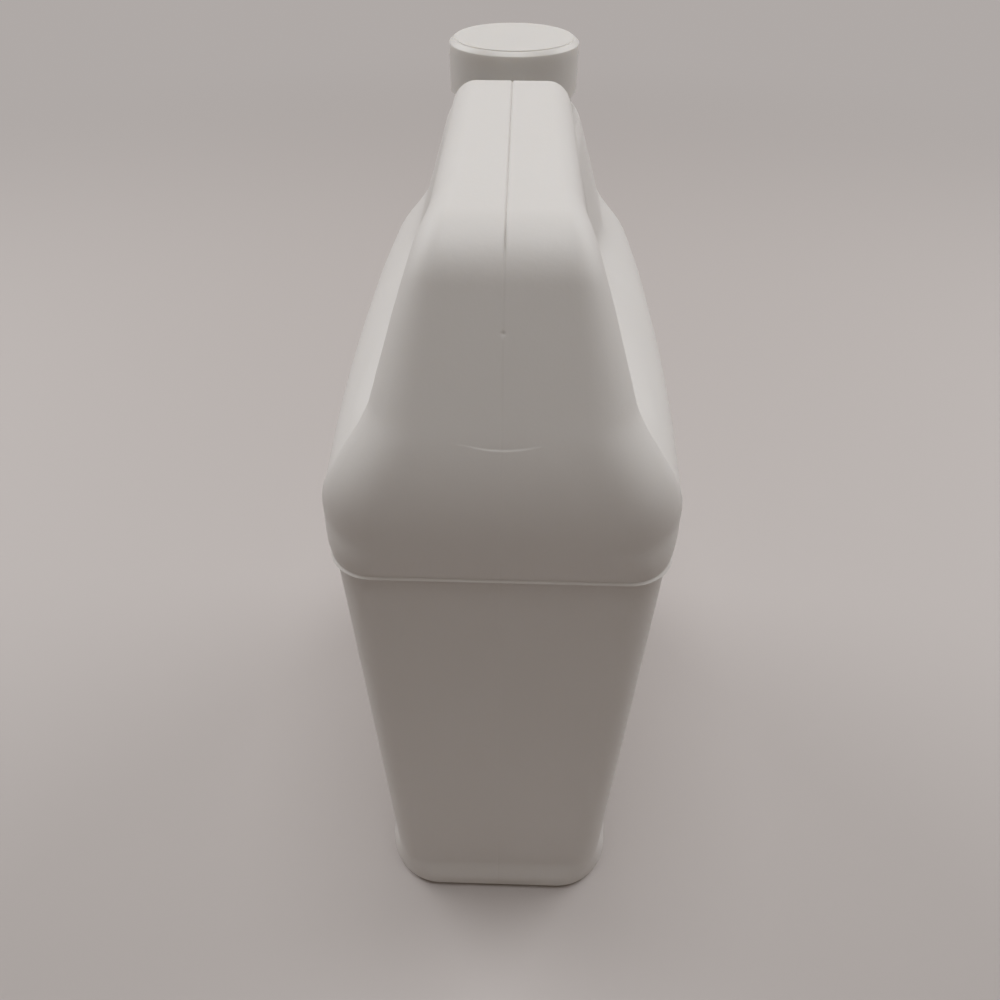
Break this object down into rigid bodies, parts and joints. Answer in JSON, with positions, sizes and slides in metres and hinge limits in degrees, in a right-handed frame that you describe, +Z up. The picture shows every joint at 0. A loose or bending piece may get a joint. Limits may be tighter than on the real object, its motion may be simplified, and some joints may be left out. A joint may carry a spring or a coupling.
{
  "type": "plastic jug",
  "caption": "Slim white blow-moulded jug of wallpaper adhesive with a through handle, an offset neck and a screw cap that turns and rises on its thread.",
  "frame": {"origin": "middle of the base, on the table", "axes": "+Z up, +X across the jug's width, +Y along its length towards the neck and away from the handle's end"},
  "size_m": [0.1026, 0.192, 0.305],
  "materials": {
    "bottle_plastic": "semi-gloss natural white blow-moulded plastic",
    "cap_plastic": "satin white injection-moulded plastic",
    "liner_foam": "matt white foamed plastic",
    "paste": "thick off-white paste"
  },
  "bodies": {
    "bottle": {"bottle": "bottle_plastic", "adhesive": "paste"},
    "liner": {"cap_liner": "liner_foam"},
    "cap": {"cap": "cap_plastic"}
  },
  "joints": [
    {"name": "cap_rise", "type": "slide", "parent": "bottle", "child": "liner", "axis": [0, 0, 1], "range_m": [0, 0.00528]},
    {"name": "cap_turn", "type": "hinge", "parent": "liner", "child": "cap", "pos_m": [0, 0.047, 0.298], "axis": [0, 0, 1], "range_deg": [0, 450]}
  ],
  "couplings": [
    {"joint": "cap_turn", "follows": "cap_rise", "rad_per_m": 1485.4}
  ]
}
